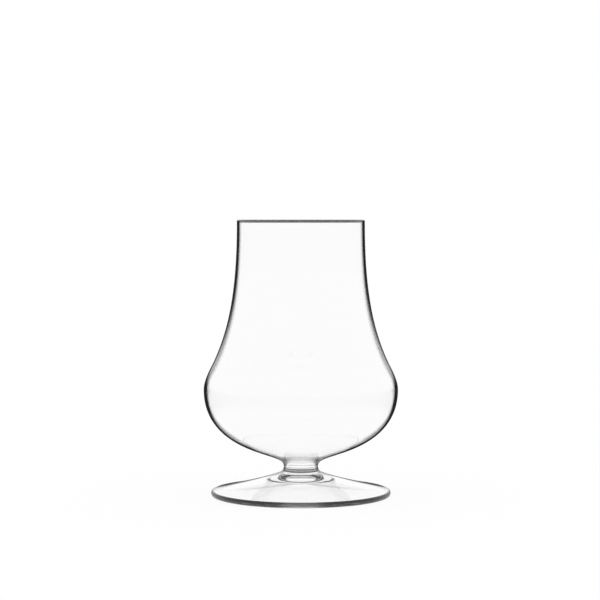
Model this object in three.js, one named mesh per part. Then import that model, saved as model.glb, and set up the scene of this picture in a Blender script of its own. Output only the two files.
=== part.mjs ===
// A rum glass in clear glass, as three solids turned about Z that meet at flat fused faces: a tulip-shaped
// bowl, a short waisted stem and a broad foot. Millimetres, +Z up, standing on z = 0.
import * as THREE from "three";

// Heights along the axis.
const FOOT_HEIGHT = 8.9; // from the table to the foot's fused face
const STEM_LENGTH = 2.4; // between the two fused faces
const BOWL_HEIGHT = 94.25; // from the bowl's fused face to the top of the lip
const BELLY_RISE = 29.4; // widest place of the bowl above its fused face

// Outside radii.
const RIM_RADIUS = 24.4;
const BELLY_RADIUS = 37.15;
const NECK_RADIUS = 6.55;
const STEM_FLARE = 1.45; // how much wider the stem is at the foot than at the neck
const FOOT_RADIUS = 34.45;

// Glass of the bowl, which thickens from the lip to the neck, and the well at its bottom.
const RIM_WALL = 0.85;
const BELLY_WALL = 1.15;
const UNDER_WALL = 1.3; // where the belly's underside turns into the neck
const BOWL_FLOOR = 1; // between the bottom of the well and the fused face
const WELL_INSET = 1.05; // how far the well's edge lies inside the neck's outside
const WELL_DEPTH = 0.3; // from the well's edge to its bottom

// Foot.
const FOOT_EDGE = 2.1; // thickness at the rounded edge
const EDGE_ROUND = 0.9; // how far the rounding reaches in from the edge
const STANDING_WIDTH = 0.5; // flat ring that touches the table
const FOOT_HOLLOW = 5.5; // rise of the underside at its centre
const CROWN_RADIUS = 13.2; // where the underside turns into the rounded top of the hollow
const CROWN_DROP = 1; // how much lower the underside is there than at its centre

// Slopes of the outline, in degrees.
const SHOULDER_LEAN = 24.9; // from upright, where the flare below the lip turns into the belly
const UNDER_SLOPE = 20.6; // from level, where the belly's underside turns into the neck
const WELL_SLOPE = 67.6; // from level, where the inner face meets the well
const STEM_SLOPE = 25; // from level, where the stem runs into the top of the foot
const EDGE_SLOPE = 10.5; // from level, where the top of the foot meets its edge
const HOLLOW_SLOPE = 10.7; // from level, where the underside leaves the standing ring
const CROWN_SLOPE = 15; // from level, where the underside turns into the top of the hollow

// Where the outline turns, as shares of the way from the belly to the lip and from the neck to the belly.
const SHOULDER_TURN = { across: 0.286, up: 0.16 };
const UNDER_TURN = { across: 0.384, up: 0.209 };

// How finely the solids are faceted: around the axis, and along the long and the short curves of an outline.
const ROUND_STEPS = 48;
const LONG_STEPS = 8;
const SHORT_STEPS = 4;

// Levels of the fused faces, the lip and the bottom of the well.
const STEM_TOP = FOOT_HEIGHT + STEM_LENGTH;
const LIP_TOP = STEM_TOP + BOWL_HEIGHT;
const WELL_BOTTOM = STEM_TOP + BOWL_FLOOR;
const STEM_BASE_RADIUS = NECK_RADIUS + STEM_FLARE;

const DOWN = new THREE.Vector2(0, -1);
const INWARD = new THREE.Vector2(-1, 0);

// A direction in the plane of an outline: away from the axis, and falling by an angle below level.
function falling(degrees) {
  const angle = THREE.MathUtils.degToRad(degrees);
  return new THREE.Vector2(Math.cos(angle), -Math.sin(angle));
}

// A place that an outline runs through on its way down, with its direction there.
function station(radius, height, along) {
  return { place: new THREE.Vector2(radius, height), along };
}

// A station some share of the way from one to another, across and up.
function turnBetween(from, to, share, along) {
  const radius = THREE.MathUtils.lerp(from.place.x, to.place.x, share.across);
  const height = THREE.MathUtils.lerp(from.place.y, to.place.y, share.up);
  return station(radius, height, along);
}

// The station on the other side of a wall, for an outline that runs down the outside.
function inside(outer, wall) {
  const square = new THREE.Vector2(outer.along.y, -outer.along.x);
  return { place: outer.place.clone().addScaledVector(square, wall), along: outer.along };
}

// Points of a smooth curve from one station to the next. The pulls are shares of its chord.
function sweep(start, end, startPull, endPull, steps) {
  const chord = start.place.distanceTo(end.place);
  const leave = start.place.clone().addScaledVector(start.along, chord * startPull);
  const arrive = end.place.clone().addScaledVector(end.along, -chord * endPull);
  return new THREE.CubicBezierCurve(start.place, leave, arrive, end.place).getPoints(steps);
}

// Points of a half ellipse that rounds off an edge, turned from its first end to the opposite one.
function rounding(centre, across, up, firstAngle) {
  const curve = new THREE.EllipseCurve(centre.x, centre.y, across, up, firstAngle, firstAngle + Math.PI);
  return curve.getPoints(2 * SHORT_STEPS);
}

// One outline from several runs of points, with the place where two runs meet kept once.
function joined(...runs) {
  const points = runs.flat();
  return points.filter((point, i) => i === 0 || !point.equals(points[i - 1]));
}

function onAxis(height) {
  return new THREE.Vector2(0, height);
}

// A solid turned about Z. Its outline starts on the axis, goes up the outside and ends on the axis.
function turned(name, outline) {
  const solid = new THREE.LatheGeometry(outline, ROUND_STEPS);
  solid.rotateX(Math.PI / 2);
  const glass = new THREE.MeshStandardMaterial({ color: 0xf7f8f8, roughness: 0.02, metalness: 0 });
  const mesh = new THREE.Mesh(solid, glass);
  mesh.name = name;
  return mesh;
}

// One face of the bowl's wall, from the lip to where the underside turns into the neck.
function bowlSide({ lip, shoulder, belly, under }) {
  return joined(
    sweep(lip, shoulder, 0.53, 0.22, LONG_STEPS),
    sweep(shoulder, belly, 0.13, 0.35, SHORT_STEPS),
    sweep(belly, under, 0.49, 0.26, LONG_STEPS),
  );
}

function bowl() {
  const lip = station(RIM_RADIUS, LIP_TOP - RIM_WALL / 2, DOWN);
  const belly = station(BELLY_RADIUS, STEM_TOP + BELLY_RISE, DOWN);
  const neck = station(NECK_RADIUS, STEM_TOP, DOWN);
  const shoulder = turnBetween(belly, lip, SHOULDER_TURN, falling(90 - SHOULDER_LEAN));
  const under = turnBetween(neck, belly, UNDER_TURN, falling(180 - UNDER_SLOPE));
  const outer = { lip, shoulder, belly, under };
  const inner = {
    lip: inside(lip, RIM_WALL),
    shoulder: inside(shoulder, (RIM_WALL + BELLY_WALL) / 2),
    belly: inside(belly, BELLY_WALL),
    under: inside(under, UNDER_WALL),
  };
  const well = station(NECK_RADIUS - WELL_INSET, WELL_BOTTOM + WELL_DEPTH, falling(180 - WELL_SLOPE));
  const wellCentre = station(0, WELL_BOTTOM, INWARD);
  const outside = joined(bowlSide(outer), sweep(under, neck, 0.6, 0.2, SHORT_STEPS));
  const lipCentre = new THREE.Vector2(RIM_RADIUS - RIM_WALL / 2, lip.place.y);
  return turned("bowl", joined(
    [onAxis(STEM_TOP)],
    outside.reverse(),
    rounding(lipCentre, RIM_WALL / 2, RIM_WALL / 2, 0),
    bowlSide(inner),
    sweep(inner.under, well, 0.554, 0.212, SHORT_STEPS),
    sweep(well, wellCentre, 0.1, 0.7, SHORT_STEPS),
  ));
}

function stem() {
  const neck = station(NECK_RADIUS, STEM_TOP, DOWN);
  const base = station(STEM_BASE_RADIUS, FOOT_HEIGHT, falling(STEM_SLOPE));
  const side = sweep(neck, base, 0.65, 0.12, SHORT_STEPS);
  return turned("stem", joined([onAxis(FOOT_HEIGHT)], side.reverse(), [onAxis(STEM_TOP)]));
}

function foot() {
  const base = station(STEM_BASE_RADIUS, FOOT_HEIGHT, falling(STEM_SLOPE));
  const edge = station(FOOT_RADIUS - EDGE_ROUND, FOOT_EDGE, falling(EDGE_SLOPE));
  const top = sweep(base, edge, 0.12, 0.44, LONG_STEPS);
  const edgeCentre = new THREE.Vector2(edge.place.x, FOOT_EDGE / 2);
  const ringInner = station(edge.place.x - STANDING_WIDTH, 0, falling(180 + HOLLOW_SLOPE));
  const crown = station(CROWN_RADIUS, FOOT_HOLLOW - CROWN_DROP, falling(180 + CROWN_SLOPE));
  const hollowCentre = station(0, FOOT_HOLLOW, INWARD);
  const underside = joined(
    sweep(ringInner, crown, 0.33, 0.33, LONG_STEPS),
    sweep(crown, hollowCentre, 0.2, 0.45, SHORT_STEPS),
  );
  return turned("foot", joined(
    underside.reverse(),
    rounding(edgeCentre, EDGE_ROUND, FOOT_EDGE / 2, -Math.PI / 2),
    top.reverse(),
    [onAxis(FOOT_HEIGHT)],
  ));
}

const glass = new THREE.Group();
glass.add(foot(), stem(), bowl());

export default glass;
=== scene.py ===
"""A clear rum glass in a white studio: a blown bowl, a short stem and a pressed foot."""

import logging
import math
from dataclasses import dataclass, replace
from enum import Enum

import bmesh
import bpy
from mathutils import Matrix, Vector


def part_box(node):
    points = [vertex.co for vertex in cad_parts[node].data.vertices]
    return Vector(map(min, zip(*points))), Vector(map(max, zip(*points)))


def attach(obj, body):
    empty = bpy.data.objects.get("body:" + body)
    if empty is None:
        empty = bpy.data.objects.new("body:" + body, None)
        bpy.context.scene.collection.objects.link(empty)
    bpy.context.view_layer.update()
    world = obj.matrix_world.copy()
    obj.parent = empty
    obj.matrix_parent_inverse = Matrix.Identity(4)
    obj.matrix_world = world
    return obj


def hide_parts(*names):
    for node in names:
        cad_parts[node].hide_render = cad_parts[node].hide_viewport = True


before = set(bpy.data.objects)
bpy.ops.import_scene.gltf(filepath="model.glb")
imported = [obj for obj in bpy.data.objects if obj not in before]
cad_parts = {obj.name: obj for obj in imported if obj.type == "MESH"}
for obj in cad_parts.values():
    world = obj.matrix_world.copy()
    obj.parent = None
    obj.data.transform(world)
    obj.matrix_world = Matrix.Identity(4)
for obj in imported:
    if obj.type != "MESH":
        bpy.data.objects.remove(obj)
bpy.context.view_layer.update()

log = logging.getLogger("rum_glass")

MM = 0.001
PHOTO_WIDTH_PX = 600
PHOTO_HEIGHT_PX = 600

# Directions of an outline, in degrees below level and away from the axis.
DOWN = 90.0
INWARD = 180.0
HALF_TURN = 180.0

# A point closer to the axis than this lies on it.
ON_AXIS = 0.0001 * MM

# How often light may change its way, in all and by glass.
MAX_BOUNCES = 32
GLASS_BOUNCES = 24

# Light that passes through plain glass, and the grey painted into the lip and the edge of the foot
# as painted shade, which draws their dark outline.
CLEAR = (0.985, 0.985, 0.985)
LIP_PAINTED_SHADE = (0.12, 0.12, 0.12)
RING_PAINTED_SHADE = (0.18, 0.18, 0.18)

Point = tuple[float, float]
Pair = tuple[float, float]
Colour = tuple[float, float, float]
Value = bpy.types.NodeSocket | float


class Surface(Enum):
    """What a stretch of a piece's outside is, with the number of its material slot.

    SKIN is an outer face, FUSED is melted to the next piece, EDGE is a rounded edge, and CUP is
    the inside of the bowl.
    """

    SKIN = 0
    FUSED = 1
    EDGE = 2
    CUP = 3


class RoundFrom(Enum):
    """Where a rounded edge starts, as an angle in degrees up from level."""

    OUTSIDE = 0.0
    BELOW = -90.0


@dataclass(frozen=True)
class Station:
    """A place that an outline runs through on its way down, with its direction there.

    Args:
        radius: Distance from the axis, in metres.
        height: Height above the table, in metres.
        fall: Angle of travel below level and away from the axis, in degrees.
    """

    radius: float
    height: float
    fall: float

    def ahead(self, distance: float) -> Point:
        """Gives the place some distance further along the direction of travel."""
        angle = math.radians(self.fall)
        return self.radius + distance * math.cos(angle), self.height - distance * math.sin(angle)

    def inside(self, wall: float) -> "Station":
        """Gives the station on the other side of a wall.

        Args:
            wall: Thickness of the glass, square to the outline.

        Returns:
            The station on the inner face, with the same direction.
        """
        angle = math.radians(self.fall)
        radius = self.radius - wall * math.sin(angle)
        return Station(radius, self.height - wall * math.cos(angle), self.fall)

    def towards(self, other: "Station", share: Pair, fall: float) -> "Station":
        """Gives a station part of the way to another.

        Args:
            other: The station at the far end.
            share: Shares of the way, in radius and in height.
            fall: Direction of travel there, in degrees.

        Returns:
            The station in between.
        """
        radius = self.radius + share[0] * (other.radius - self.radius)
        height = self.height + share[1] * (other.height - self.height)
        return Station(radius, height, fall)


def sweep(start: Station, end: Station, pulls: Pair, steps: int) -> list[Point]:
    """Draws a smooth curve from one station to the next.

    Args:
        start: Where the curve starts.
        end: Where it ends.
        pulls: How far the directions at both ends are held, as shares of the chord.
        steps: Number of steps along the curve.

    Returns:
        The points of the curve, both ends included.
    """
    chord = math.dist((start.radius, start.height), (end.radius, end.height))
    corners = [
        (start.radius, start.height),
        start.ahead(chord * pulls[0]),
        end.ahead(-chord * pulls[1]),
        (end.radius, end.height),
    ]
    points = []
    for step in range(steps + 1):
        t = step / steps
        weights = ((1 - t) ** 3, 3 * t * (1 - t) ** 2, 3 * t * t * (1 - t), t**3)
        points.append(tuple(sum(w * c[axis] for w, c in zip(weights, corners)) for axis in (0, 1)))
    return points


def rounding(centre: Point, across: float, up: float, start: RoundFrom, steps: int) -> list[Point]:
    """Draws half an ellipse that rounds off an edge.

    Args:
        centre: Centre of the ellipse.
        across: Its half width.
        up: Its half height.
        start: Where the curve starts. It turns upwards from there.
        steps: Number of steps along the curve.

    Returns:
        The points of the curve, both ends included.
    """
    points = []
    for step in range(steps + 1):
        angle = math.radians(start.value + HALF_TURN * step / steps)
        points.append((centre[0] + across * math.cos(angle), centre[1] + up * math.sin(angle)))
    return points


@dataclass(frozen=True)
class EdgeShadeStop:
    """How dark the painted shade on the glass is edge on, at one height.

    Args:
        height: Height above the table, in metres.
        begin: How far a surface is turned away from the eye where the dark begins, from 0 to 1.
        full: The same where the dark is full.
        grey: Grey of the painted shade where it is full, as the share of the light that passes.
    """

    height: float
    begin: float
    full: float
    grey: float


# From the foot to the lip, these give the painted shade of the outline its width and its grey.
EDGE_SHADE_STOPS = (
    EdgeShadeStop(0.0, 0.8, 0.93, 0.06),
    EdgeShadeStop(2.2 * MM, 0.8, 0.93, 0.06),
    EdgeShadeStop(2.8 * MM, 0.92, 0.99, 0.06),
    EdgeShadeStop(4.0 * MM, 0.93, 0.995, 0.06),
    EdgeShadeStop(6.5 * MM, 0.88, 0.985, 0.06),
    EdgeShadeStop(8.2 * MM, 0.66, 0.84, 0.04),
    EdgeShadeStop(8.9 * MM, 0.6, 0.8, 0.04),
    EdgeShadeStop(9.6 * MM, 0.45, 0.6, 0.05),
    EdgeShadeStop(11.2 * MM, 0.36, 0.53, 0.05),
    EdgeShadeStop(12.2 * MM, 0.44, 0.58, 0.03),
    EdgeShadeStop(13.0 * MM, 0.52, 0.65, 0.015),
    EdgeShadeStop(14.0 * MM, 0.7, 0.81, 0.012),
    EdgeShadeStop(15.5 * MM, 0.79, 0.87, 0.012),
    EdgeShadeStop(17.5 * MM, 0.79, 0.87, 0.03),
    EdgeShadeStop(20.0 * MM, 0.79, 0.87, 0.06),
    EdgeShadeStop(24.0 * MM, 0.655, 0.765, 0.06),
    EdgeShadeStop(33.0 * MM, 0.66, 0.775, 0.07),
    EdgeShadeStop(42.0 * MM, 0.685, 0.8, 0.1),
    EdgeShadeStop(48.0 * MM, 0.635, 0.755, 0.07),
    EdgeShadeStop(58.0 * MM, 0.605, 0.735, 0.07),
    EdgeShadeStop(72.0 * MM, 0.575, 0.72, 0.09),
    EdgeShadeStop(105.5 * MM, 0.59, 0.735, 0.1),
)


@dataclass(frozen=True)
class GlassFinish:
    """Clear glass with the faint unevenness that blowing or pressing leaves in its surface.

    Args:
        name: Name of the material.
        tint: Colour of the light that passes through.
        roughness: Lowest and highest roughness over the surface.
        wave_scale: Waves per metre of the unevenness.
        wave_height: Height of the waves, in metres.
        edge_shade_stops: How dark the painted shade at the edges is, from the table upwards. None
            is painted if it is empty.
        ior: Index of refraction.
    """

    name: str
    tint: Colour
    roughness: Pair
    wave_scale: float
    wave_height: float
    edge_shade_stops: tuple[EdgeShadeStop, ...] = ()
    ior: float = 1.52

    def material(self) -> bpy.types.Material:
        """Makes the finish as a material.

        Returns:
            The new material.
        """
        made = bpy.data.materials.new(self.name)
        made.use_nodes = True
        nodes, links = made.node_tree.nodes, made.node_tree.links
        shader = nodes["Principled BSDF"]
        shader.inputs["Base Color"].default_value = (*self.tint, 1.0)
        shader.inputs["Transmission Weight"].default_value = 1.0
        shader.inputs["IOR"].default_value = self.ior
        place = nodes.new("ShaderNodeTexCoord")
        # Painted shade: grey is mixed into the base colour where the glass is seen edge on.
        if self.edge_shade_stops:
            self.paint_edge_shade(made.node_tree, place.outputs["Object"])
        waves = nodes.new("ShaderNodeTexNoise")
        waves.inputs["Scale"].default_value = self.wave_scale
        waves.inputs["Detail"].default_value = 1.0
        links.new(place.outputs["Object"], waves.inputs["Vector"])
        polish = nodes.new("ShaderNodeMapRange")
        polish.inputs["To Min"].default_value = self.roughness[0]
        polish.inputs["To Max"].default_value = self.roughness[1]
        links.new(waves.outputs["Fac"], polish.inputs["Value"])
        links.new(polish.outputs["Result"], shader.inputs["Roughness"])
        bump = nodes.new("ShaderNodeBump")
        bump.inputs["Distance"].default_value = self.wave_height
        links.new(waves.outputs["Fac"], bump.inputs["Height"])
        links.new(bump.outputs["Normal"], shader.inputs["Normal"])
        return made

    def paint_edge_shade(self, tree: bpy.types.NodeTree, place: bpy.types.NodeSocket) -> None:
        """Paints shade into the base colour where the surface is seen edge on, so that less light
        passes there.

        Args:
            tree: The material's node tree.
            place: Socket with the place on the piece.
        """
        nodes, links = tree.nodes, tree.links
        split = nodes.new("ShaderNodeSeparateXYZ")
        links.new(place, split.inputs["Vector"])
        top = self.edge_shade_stops[-1].height
        height = nodes.new("ShaderNodeMapRange")
        height.inputs["From Max"].default_value = top
        links.new(split.outputs["Z"], height.inputs["Value"])
        table = nodes.new("ShaderNodeValToRGB")
        rows = table.color_ramp.elements
        rows[0].position, rows[1].position = self.edge_shade_stops[0].height / top, 1.0
        for stop in self.edge_shade_stops[1:-1]:
            rows.new(stop.height / top)
        for row, stop in zip(rows, self.edge_shade_stops):
            row.color = (stop.begin, stop.full, stop.grey, 1.0)
        links.new(height.outputs["Result"], table.inputs["Fac"])
        limits = nodes.new("ShaderNodeSeparateColor")
        links.new(table.outputs["Color"], limits.inputs["Color"])
        turned_away = nodes.new("ShaderNodeLayerWeight")
        edge = nodes.new("ShaderNodeMapRange")
        edge.interpolation_type = "SMOOTHSTEP"
        links.new(turned_away.outputs["Facing"], edge.inputs["Value"])
        links.new(limits.outputs["Red"], edge.inputs["From Min"])
        links.new(limits.outputs["Green"], edge.inputs["From Max"])
        # The painted shade: the base colour runs from the tint to the grey of the stops.
        colour = nodes.new("ShaderNodeMix")
        colour.data_type = "RGBA"
        colour.inputs["A"].default_value = (*self.tint, 1.0)
        links.new(limits.outputs["Blue"], colour.inputs["B"])
        links.new(edge.outputs["Result"], colour.inputs["Factor"])
        links.new(colour.outputs["Result"], nodes["Principled BSDF"].inputs["Base Color"])


# Both glasses carry painted shade at their edges, from the edge stops.
BLOWN = GlassFinish(
    name="blown_glass",
    tint=CLEAR,
    roughness=(0.0, 0.012),
    wave_scale=45.0,
    wave_height=0.008 * MM,
    edge_shade_stops=EDGE_SHADE_STOPS,
)
PRESSED = GlassFinish(
    name="pressed_glass",
    tint=CLEAR,
    roughness=(0.0, 0.016),
    wave_scale=90.0,
    wave_height=0.01 * MM,
    edge_shade_stops=EDGE_SHADE_STOPS,
)


@dataclass(frozen=True)
class FusedFinish:
    """The face where two pieces are melted together, which shows nothing.

    Args:
        name: Name of the material.
    """

    name: str

    def material(self) -> bpy.types.Material:
        """Makes the finish as a material.

        Returns:
            The new material.
        """
        made = bpy.data.materials.new(self.name)
        made.use_nodes = True
        nodes, links = made.node_tree.nodes, made.node_tree.links
        nodes.remove(nodes["Principled BSDF"])
        clear = nodes.new("ShaderNodeBsdfTransparent")
        links.new(clear.outputs["BSDF"], nodes["Material Output"].inputs["Surface"])
        return made


@dataclass
class TurnedGlass:
    """A piece of glass turned about the axis.

    Args:
        node: Name of the CAD node that the piece replaces.
        slot: The record's material slot. Not used.
        finishes: Finish of each kind of surface, in the order of their slots.
        round_steps: Number of steps around the axis.
    """

    node: str
    slot: str
    finishes: list[bpy.types.Material]
    round_steps: int = 240

    def outline(self) -> list[tuple[Surface, list[Point]]]:
        """Gives the outline from the axis at the bottom, up the outside and back to the axis.

        Returns:
            Its stretches, each with what its surface is.
        """
        raise NotImplementedError

    def build(self) -> bpy.types.Object:
        """Turns the outline into a closed mesh and sets it in the frame.

        Returns:
            The new piece.
        """
        mesh = bpy.data.meshes.new(f"{self.node}_mesh")
        shape = bmesh.new()
        last_ring: list[bmesh.types.BMVert] | None = None
        last_surface: Surface | None = None
        for surface, points in self.outline():
            corner = last_surface is not None and Surface.FUSED in (last_surface, surface)
            for place, point in enumerate(points):
                if place == 0 and last_ring is not None:
                    continue
                ring = self.ring(shape, point)
                if last_ring is not None:
                    self.band(shape, last_ring, ring, surface, corner and place == 1)
                last_ring = ring
            last_surface = surface
        shape.normal_update()
        shape.to_mesh(mesh)
        shape.free()
        piece = bpy.data.objects.new(f"{self.node}_glass", mesh)
        bpy.context.scene.collection.objects.link(piece)
        self.dress(piece)
        return piece

    def ring(self, shape: bmesh.types.BMesh, point: Point) -> list[bmesh.types.BMVert]:
        """Adds the vertices of one ring, or a single vertex on the axis.

        Args:
            shape: The mesh in the making.
            point: Radius and height of the ring.

        Returns:
            The new vertices, in order around the axis.
        """
        radius, height = point
        if radius < ON_AXIS:
            return [shape.verts.new((0.0, 0.0, height))]
        turn = 2 * math.pi / self.round_steps
        angles = [turn * step for step in range(self.round_steps)]
        places = [(radius * math.cos(a), radius * math.sin(a), height) for a in angles]
        return [shape.verts.new(place) for place in places]

    def band(
        self,
        shape: bmesh.types.BMesh,
        low: list[bmesh.types.BMVert],
        high: list[bmesh.types.BMVert],
        surface: Surface,
        sharp_start: bool,
    ) -> None:
        """Adds the faces between two rings.

        Args:
            shape: The mesh in the making.
            low: The ring that comes first along the outline.
            high: The ring that comes next.
            surface: What the faces are.
            sharp_start: Whether the first ring is a corner.
        """
        count = self.round_steps
        for step in range(count):
            after = (step + 1) % count
            if len(low) == 1:
                corners = [low[0], high[after], high[step]]
            elif len(high) == 1:
                corners = [low[step], low[after], high[0]]
            else:
                corners = [low[step], low[after], high[after], high[step]]
            face = shape.faces.new(corners)
            face.smooth = True
            face.material_index = surface.value
        if sharp_start:
            for step in range(count):
                edge = shape.edges.get((low[step], low[(step + 1) % count]))
                edge.smooth = False

    def dress(self, piece: bpy.types.Object) -> None:
        """Gives the piece its materials and its place in the frame.

        Args:
            piece: The piece to dress.
        """
        for finish in self.finishes:
            piece.data.materials.append(finish)
        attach(piece, "root")
        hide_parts(self.node)


@dataclass
class Bowl(TurnedGlass):
    """The blown cup: a lip, a flare, a wide belly, an underside, a neck and a small well.

    Args:
        rim_radius: Outside radius at the lip.
        rim_wall: Glass at the lip.
        lip_depth: How far the polished lip reaches down the wall from its rounding.
        belly_wall: Glass at the belly.
        under_wall: Glass where the underside turns into the neck.
        belly_rise: Widest place above the fused face.
        neck_radius: Outside radius of the neck.
        floor: Glass below the well.
        well_inset: How far the well's edge lies inside the neck.
        well_depth: Rounded part of the well above its bottom.
        well_slope: Slope of the inner face at the well's edge, in degrees from level.
        shoulder_lean: Lean where the flare turns into the belly, in degrees from upright.
        under_slope: Slope where the underside turns into the neck, in degrees from level.
        shoulder_turn: Shares of the way from belly to lip, across and up, where the flare ends.
        under_turn: Shares of the way from neck to belly, across and up, where the underside ends.
        flare_pulls: Pulls of the curve from the lip to the shoulder.
        swell_pulls: Pulls of the curve from the shoulder to the belly.
        base_pulls: Pulls of the curve from the belly to the end of the underside.
        neck_pulls: Pulls of the outer curve from there to the neck.
        well_pulls: Pulls of the inner curve from there to the well's edge.
        bottom_pulls: Pulls of the curve from the well's edge to its middle.
        lip_steps: Number of steps around the lip's rounding.
        long_steps: Number of steps along a long curve.
        short_steps: Number of steps along a short curve.
    """

    rim_radius: float = 24.4 * MM
    rim_wall: float = 0.85 * MM
    lip_depth: float = 0.7 * MM
    belly_wall: float = 1.15 * MM
    under_wall: float = 1.3 * MM
    belly_rise: float = 29.4 * MM
    neck_radius: float = 6.55 * MM
    floor: float = 1.0 * MM
    well_inset: float = 1.05 * MM
    well_depth: float = 0.3 * MM
    well_slope: float = 67.6
    shoulder_lean: float = 24.9
    under_slope: float = 20.6
    shoulder_turn: Pair = (0.286, 0.16)
    under_turn: Pair = (0.384, 0.209)
    flare_pulls: Pair = (0.53, 0.22)
    swell_pulls: Pair = (0.13, 0.35)
    base_pulls: Pair = (0.49, 0.26)
    neck_pulls: Pair = (0.6, 0.2)
    well_pulls: Pair = (0.554, 0.212)
    bottom_pulls: Pair = (0.1, 0.7)
    lip_steps: int = 16
    long_steps: int = 56
    short_steps: int = 28

    def side(self, lip: Station, shoulder: Station, belly: Station, under: Station) -> list[Point]:
        """Draws one face of the wall from the lip to where the underside turns into the neck.

        Args:
            lip: Station at the lip.
            shoulder: Station where the flare turns into the belly.
            belly: Station at the widest place.
            under: Station where the underside turns into the neck.

        Returns:
            The points of that face.
        """
        flare = sweep(lip, shoulder, self.flare_pulls, self.long_steps)
        swell = sweep(shoulder, belly, self.swell_pulls, self.short_steps)
        base = sweep(belly, under, self.base_pulls, self.long_steps)
        return flare + swell[1:] + base[1:]

    def outline(self) -> list[tuple[Surface, list[Point]]]:
        """Gives the outline of the bowl, from its fused face up the outside and down the inside.

        Returns:
            Its stretches, each with what its surface is.
        """
        low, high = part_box(self.node)
        lip_level = high.z - self.rim_wall / 2
        lip = Station(self.rim_radius, lip_level - self.lip_depth, DOWN)
        belly = Station(high.x, low.z + self.belly_rise, DOWN)
        neck = Station(self.neck_radius, low.z, DOWN)
        shoulder = belly.towards(lip, self.shoulder_turn, DOWN - self.shoulder_lean)
        under = neck.towards(belly, self.under_turn, INWARD - self.under_slope)
        inner_under = under.inside(self.under_wall)
        well_radius = self.neck_radius - self.well_inset
        well_bottom = low.z + self.floor
        well = Station(well_radius, well_bottom + self.well_depth, INWARD - self.well_slope)
        centre = Station(0.0, well_bottom, INWARD)
        outside = self.side(lip, shoulder, belly, under)
        outside += sweep(under, neck, self.neck_pulls, self.short_steps)[1:]
        inside = self.side(
            lip.inside(self.rim_wall),
            shoulder.inside((self.rim_wall + self.belly_wall) / 2),
            belly.inside(self.belly_wall),
            inner_under,
        )
        inside += sweep(inner_under, well, self.well_pulls, self.short_steps)[1:]
        inside += sweep(well, centre, self.bottom_pulls, self.short_steps)[1:]
        half_wall = self.rim_wall / 2
        lip_centre = (self.rim_radius - half_wall, lip_level)
        lip_round = rounding(lip_centre, half_wall, half_wall, RoundFrom.OUTSIDE, self.lip_steps)
        return [
            (Surface.FUSED, [(0.0, low.z), outside[-1]]),
            (Surface.SKIN, outside[::-1]),
            (Surface.EDGE, [outside[0], *lip_round, inside[0]]),
            (Surface.CUP, inside),
        ]


@dataclass
class Stem(TurnedGlass):
    """The short waisted button of glass between the bowl and the foot.

    Args:
        neck_radius: Radius at the bowl.
        slope: Slope where the stem runs into the foot, in degrees from level.
        side_pulls: Pulls of the curve from the bowl to the foot.
        steps: Number of steps along that curve.
    """

    neck_radius: float = 6.55 * MM
    slope: float = 25.0
    side_pulls: Pair = (0.65, 0.12)
    steps: int = 48

    def outline(self) -> list[tuple[Surface, list[Point]]]:
        """Gives the outline of the stem, from one fused face to the other.

        Returns:
            Its stretches, each with what its surface is.
        """
        low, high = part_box(self.node)
        neck = Station(self.neck_radius, high.z, DOWN)
        base = Station(high.x, low.z, self.slope)
        side = sweep(neck, base, self.side_pulls, self.steps)[::-1]
        return [
            (Surface.FUSED, [(0.0, low.z), side[0]]),
            (Surface.SKIN, side),
            (Surface.FUSED, [side[-1], (0.0, high.z)]),
        ]


@dataclass
class Foot(TurnedGlass):
    """The pressed disc with a sloping top, a rounded edge and a hollow underside.

    Args:
        top_radius: Radius of its fused face.
        edge: Thickness at the edge.
        edge_round: How far the rounding reaches in from the edge.
        standing_width: Flat ring that touches the table.
        hollow: Rise of the underside at its centre.
        hollow_slope: Slope of the underside at the standing ring, in degrees from level.
        crown_radius: Radius of the rounded crown of the hollow, below the stem.
        crown_height: Height of the crown's edge.
        crown_slope: Slope of the underside at the crown's edge, in degrees from level.
        slope: Slope at the stem, in degrees from level.
        edge_slope: Slope at the edge, in degrees from level.
        hollow_pulls: Pulls of the curve from the standing ring to the crown's edge.
        crown_pulls: Pulls of the curve from the crown's edge to its middle.
        top_pulls: Pulls of the curve from the stem to the edge.
        edge_steps: Number of steps around the edge's rounding.
        long_steps: Number of steps along a long curve.
        short_steps: Number of steps along a short curve.
    """

    top_radius: float = 8.0 * MM
    edge: float = 2.1 * MM
    edge_round: float = 0.9 * MM
    standing_width: float = 0.5 * MM
    hollow: float = 5.5 * MM
    hollow_slope: float = 10.7
    crown_radius: float = 13.2 * MM
    crown_height: float = 4.5 * MM
    crown_slope: float = 15.0
    slope: float = 25.0
    edge_slope: float = 10.5
    hollow_pulls: Pair = (0.33, 0.33)
    crown_pulls: Pair = (0.2, 0.45)
    top_pulls: Pair = (0.12, 0.44)
    edge_steps: int = 40
    long_steps: int = 90
    short_steps: int = 45

    def outline(self) -> list[tuple[Surface, list[Point]]]:
        """Gives the outline of the foot, from the middle of its underside to its fused face.

        Returns:
            Its stretches, each with what its surface is.
        """
        low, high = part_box(self.node)
        flat_radius = high.x - self.edge_round
        base = Station(self.top_radius, high.z, self.slope)
        edge = Station(flat_radius, low.z + self.edge, self.edge_slope)
        ring = Station(flat_radius - self.standing_width, low.z, INWARD + self.hollow_slope)
        crown_level = low.z + self.crown_height
        crown = Station(self.crown_radius, crown_level, INWARD + self.crown_slope)
        centre = Station(0.0, low.z + self.hollow, INWARD)
        under = sweep(ring, crown, self.hollow_pulls, self.long_steps)
        under += sweep(crown, centre, self.crown_pulls, self.short_steps)[1:]
        half_edge = self.edge / 2
        edge_centre = (flat_radius, low.z + half_edge)
        edge_round = rounding(
            edge_centre, self.edge_round, half_edge, RoundFrom.BELOW, self.edge_steps
        )
        top = sweep(base, edge, self.top_pulls, self.long_steps)[::-1]
        return [
            (Surface.SKIN, [*under[::-1], edge_round[0]]),
            (Surface.EDGE, edge_round),
            (Surface.SKIN, top),
            (Surface.FUSED, [top[-1], (0.0, high.z)]),
        ]


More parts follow.
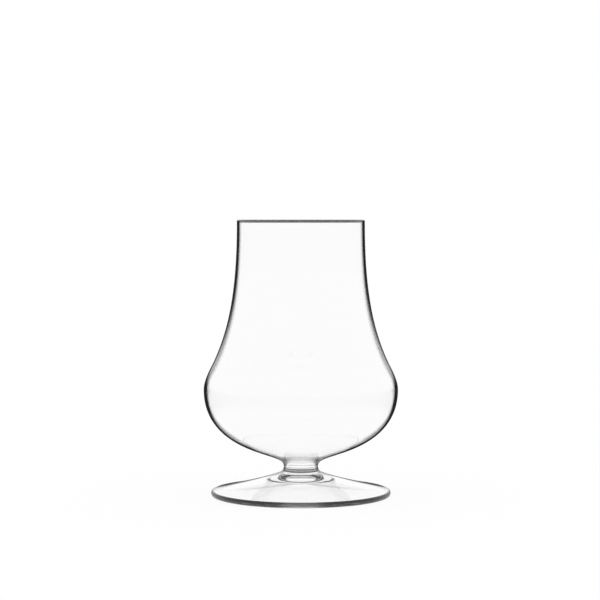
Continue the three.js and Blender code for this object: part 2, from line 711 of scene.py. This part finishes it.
class NodeSums:
    """Adds sums to a node tree and hands on their results.

    Args:
        tree: The tree that the sums are added to.
    """

    def __init__(self, tree: bpy.types.NodeTree) -> None:
        """Keeps the tree."""
        self.tree = tree

    def sum(self, operation: str, first: Value, second: Value) -> bpy.types.NodeSocket:
        """Adds one sum.

        Args:
            operation: The sum's name.
            first: Its first value, a socket or a number.
            second: Its second value.

        Returns:
            The socket with the result.
        """
        node = self.tree.nodes.new("ShaderNodeMath")
        node.operation = operation
        for socket, value in zip(node.inputs, (first, second)):
            if isinstance(value, bpy.types.NodeSocket):
                self.tree.links.new(value, socket)
            else:
                socket.default_value = value
        return node.outputs[0]

    def over(self, value: Value, limit: float) -> bpy.types.NodeSocket:
        """Gives 1 where a value is over a limit."""
        return self.sum("GREATER_THAN", value, limit)

    def under(self, value: Value, limit: float) -> bpy.types.NodeSocket:
        """Gives 1 where a value is under a limit."""
        return self.sum("LESS_THAN", value, limit)

    def some(self, count: Value) -> bpy.types.NodeSocket:
        """Gives 1 where a count isn't 0."""
        return self.over(count, 0.5)

    def both(self, first: Value, second: Value) -> bpy.types.NodeSocket:
        """Multiplies two shares."""
        return self.sum("MULTIPLY", first, second)

    def either(self, first: Value, second: Value) -> bpy.types.NodeSocket:
        """Takes the larger of two shares."""
        return self.sum("MAXIMUM", first, second)

    def ramp(self, value: Value, begin: float, end: float) -> bpy.types.NodeSocket:
        """Adds a soft step from 0 to 1.

        Args:
            value: The value that is mapped.
            begin: Where the step is 0.
            end: Where it is 1.

        Returns:
            The socket with the result.
        """
        node = self.tree.nodes.new("ShaderNodeMapRange")
        node.interpolation_type = "SMOOTHSTEP"
        low, high = min(begin, end), max(begin, end)
        node.inputs["From Min"].default_value = low
        node.inputs["From Max"].default_value = high
        node.inputs["To Min"].default_value = 0.0 if begin < end else 1.0
        node.inputs["To Max"].default_value = 1.0 if begin < end else 0.0
        self.tree.links.new(value, node.inputs["Value"])
        return node.outputs["Result"]


@dataclass
class Studio:
    """White floor and surround with dark cards for the outline, and a camera at lip height.

    The cards are dark places of the floor and dark directions of the surround. Only light that
    was turned back at least once by the glass meets them.

    Args:
        distance: From the camera to the glass's axis.
        camera_height: Height of the camera.
        camera_aside: How far the camera stands to one side.
        focal_px: Focal length in pixels of the photograph.
        horizon_px: Row of the photograph that is level with the camera.
        sensor_mm: Width of the camera's sensor.
        floor_half: Half the floor's side.
        floor_drop: How far the floor lies below the foot.
        floor_paint: Share of the floor's white that is lit paint, which takes a shadow.
        back_dark: Distances from the axis where the floor's back card begins and is full.
        wedge: Shares of that distance that lie behind the axis where it begins and is full.
        far_dark: Distances where a fainter card all around the glass begins and is full.
        far_share: How dark the fainter card is.
        card_grey: Brightness of a dark card.
        card_height: Sines of the angles from level where the surround's cards end and are full.
        card_spread: How far back a direction points where its back card ends and is full.
        ring_share: How dark the ring of cards is where no back card stands.
        few_passes: How often light may pass into or out of glass and still meet a card.
        many_turns: How often light may be turned back before all that it meets is dark.
    """

    distance: float = 725.5 * MM
    camera_height: float = 105.0 * MM
    camera_aside: float = -0.33 * MM
    focal_px: float = 1900.7
    horizon_px: float = 221.16
    sensor_mm: float = 36.0
    floor_half: float = 3.0
    floor_drop: float = 0.1 * MM
    floor_paint: float = 0.1
    back_dark: Pair = (30 * MM, 38 * MM)
    wedge: Pair = (0.65, 0.77)
    far_dark: Pair = (90 * MM, 160 * MM)
    far_share: float = 0.25
    card_grey: float = 0.03
    card_height: Pair = (0.1, 0.01)
    card_spread: Pair = (0.74, 0.86)
    ring_share: float = 0.15
    few_passes: float = 3.5
    many_turns: float = 8.5

    def camera(self) -> bpy.types.Object:
        """Sets up the camera.

        Returns:
            The camera.
        """
        data = bpy.data.cameras.new("camera")
        data.sensor_width = self.sensor_mm
        data.lens = self.sensor_mm * self.focal_px / PHOTO_WIDTH_PX
        made = bpy.data.objects.new("camera", data)
        bpy.context.scene.collection.objects.link(made)
        tilt = math.atan((PHOTO_HEIGHT_PX / 2 - self.horizon_px) / self.focal_px)
        made.location = (self.camera_aside, -self.distance, self.camera_height)
        made.rotation_euler = (math.pi / 2 - tilt, 0.0, 0.0)
        bpy.context.scene.camera = made
        return made

    def floor(self) -> bpy.types.Object:
        """Lays the floor.

        Returns:
            The floor.
        """
        mesh = bpy.data.meshes.new("floor_mesh")
        half, level = self.floor_half, -self.floor_drop
        plan = ((-half, -half), (half, -half), (half, half), (-half, half))
        mesh.from_pydata([(*corner, level) for corner in plan], [], [(0, 1, 2, 3)])
        mesh.materials.append(self.floor_paper())
        made = bpy.data.objects.new("floor", mesh)
        bpy.context.scene.collection.objects.link(made)
        return made

    def floor_paper(self) -> bpy.types.Material:
        """Makes the floor's white, with its dark cards.

        Returns:
            The material.
        """
        paper = bpy.data.materials.new("floor_paper")
        paper.use_nodes = True
        nodes, links = paper.node_tree.nodes, paper.node_tree.links
        nodes.remove(nodes["Principled BSDF"])
        paint = nodes.new("ShaderNodeBsdfDiffuse")
        paint.inputs["Color"].default_value = (*[self.floor_paint] * 3, 1.0)
        glow = nodes.new("ShaderNodeEmission")
        glow.inputs["Strength"].default_value = 1.0 - self.floor_paint
        white = nodes.new("ShaderNodeAddShader")
        links.new(paint.outputs["BSDF"], white.inputs[0])
        links.new(glow.outputs["Emission"], white.inputs[1])
        card = nodes.new("ShaderNodeEmission")
        card.inputs["Strength"].default_value = self.card_grey
        mix = nodes.new("ShaderNodeMixShader")
        links.new(self.floor_dark(paper.node_tree), mix.inputs["Fac"])
        links.new(white.outputs["Shader"], mix.inputs[1])
        links.new(card.outputs["Emission"], mix.inputs[2])
        links.new(mix.outputs["Shader"], nodes["Material Output"].inputs["Surface"])
        return paper

    def floor_dark(self, tree: bpy.types.NodeTree) -> bpy.types.NodeSocket:
        """Works out where the floor is dark for light that the glass turned back.

        Args:
            tree: Node tree of the floor's material.

        Returns:
            The socket with the share of dark.
        """
        nodes, links = tree.nodes, tree.links
        place = nodes.new("ShaderNodeTexCoord")
        reach = nodes.new("ShaderNodeVectorMath")
        reach.operation = "LENGTH"
        links.new(place.outputs["Object"], reach.inputs[0])
        split = nodes.new("ShaderNodeSeparateXYZ")
        links.new(place.outputs["Object"], split.inputs["Vector"])
        path = nodes.new("ShaderNodeLightPath")
        turns, passes = path.outputs["Glossy Depth"], path.outputs["Transmission Depth"]
        sums = NodeSums(tree)
        away = reach.outputs["Value"]
        behind = sums.ramp(sums.sum("DIVIDE", split.outputs["Y"], away), *self.wedge)
        back = sums.both(behind, sums.ramp(away, *self.back_dark))
        far = sums.both(sums.ramp(away, *self.far_dark), self.far_share)
        turned = sums.both(sums.some(turns), sums.under(passes, self.few_passes))
        outline = sums.both(turned, sums.either(back, far))
        return sums.either(outline, sums.over(turns, self.many_turns))

    def surround(self) -> bpy.types.World:
        """Makes the white surround, with its dark cards.

        Returns:
            The world.
        """
        world = bpy.data.worlds.new("studio")
        world.use_nodes = True
        nodes, links = world.node_tree.nodes, world.node_tree.links
        back = nodes["Background"]
        back.inputs["Color"].default_value = (1, 1, 1, 1)
        strength = nodes.new("ShaderNodeMapRange")
        strength.inputs["To Min"].default_value = 1.0
        strength.inputs["To Max"].default_value = self.card_grey
        links.new(self.surround_dark(world.node_tree), strength.inputs["Value"])
        links.new(strength.outputs["Result"], back.inputs["Strength"])
        bpy.context.scene.world = world
        return world

    def surround_dark(self, tree: bpy.types.NodeTree) -> bpy.types.NodeSocket:
        """Works out in which directions the surround is dark for light that the glass turned back.

        Args:
            tree: Node tree of the surround.

        Returns:
            The socket with the share of dark.
        """
        nodes, links = tree.nodes, tree.links
        direction = nodes.new("ShaderNodeTexCoord")
        split = nodes.new("ShaderNodeSeparateXYZ")
        links.new(direction.outputs["Generated"], split.inputs["Vector"])
        path = nodes.new("ShaderNodeLightPath")
        turns, passes = path.outputs["Glossy Depth"], path.outputs["Transmission Depth"]
        sums = NodeSums(tree)
        level = sums.sum("ABSOLUTE", split.outputs["Z"], 0.0)
        low = sums.ramp(level, *self.card_height)
        ahead = sums.ramp(split.outputs["Y"], *self.card_spread)
        ring = sums.both(sums.some(passes), self.ring_share)
        turned = sums.both(sums.some(turns), sums.under(passes, self.few_passes))
        outline = sums.both(turned, sums.both(low, sums.either(ring, ahead)))
        return sums.either(outline, sums.over(turns, self.many_turns))


def main() -> None:
    """Builds the glass piece by piece, then the studio around it."""
    logging.basicConfig(level=logging.INFO, format="%(name)s: %(message)s")
    scene = bpy.context.scene
    scene.view_settings.view_transform = "Standard"
    scene.cycles.max_bounces = MAX_BOUNCES
    scene.cycles.glossy_bounces = GLASS_BOUNCES
    scene.cycles.transmission_bounces = GLASS_BOUNCES
    scene.cycles.transparent_max_bounces = MAX_BOUNCES
    blown = BLOWN.material()
    pressed = PRESSED.material()
    # The lip and the foot's edge are tinted grey as painted shade for their dark outline; the
    # inside of the bowl gets no painted shade.
    lip = replace(BLOWN, name="lip_painted_shade", tint=LIP_PAINTED_SHADE).material()
    ring = replace(PRESSED, name="ring_painted_shade", tint=RING_PAINTED_SHADE).material()
    cup = replace(BLOWN, name="cup_glass", edge_shade_stops=()).material()
    fused = FusedFinish("fused_face").material()
    for part in (
        Bowl("bowl", "blown_glass", [blown, fused, lip, cup]),
        Stem("stem", "blown_glass", [blown, fused]),
        Foot("foot", "pressed_glass", [pressed, fused, ring]),
    ):
        piece = part.build()
        log.info("built %s with %d faces", piece.name, len(piece.data.polygons))
    studio = Studio()
    for made in (studio.camera(), studio.floor(), studio.surround()):
        log.info("set up %s", made.name)


if __name__ == "__main__":
    main()
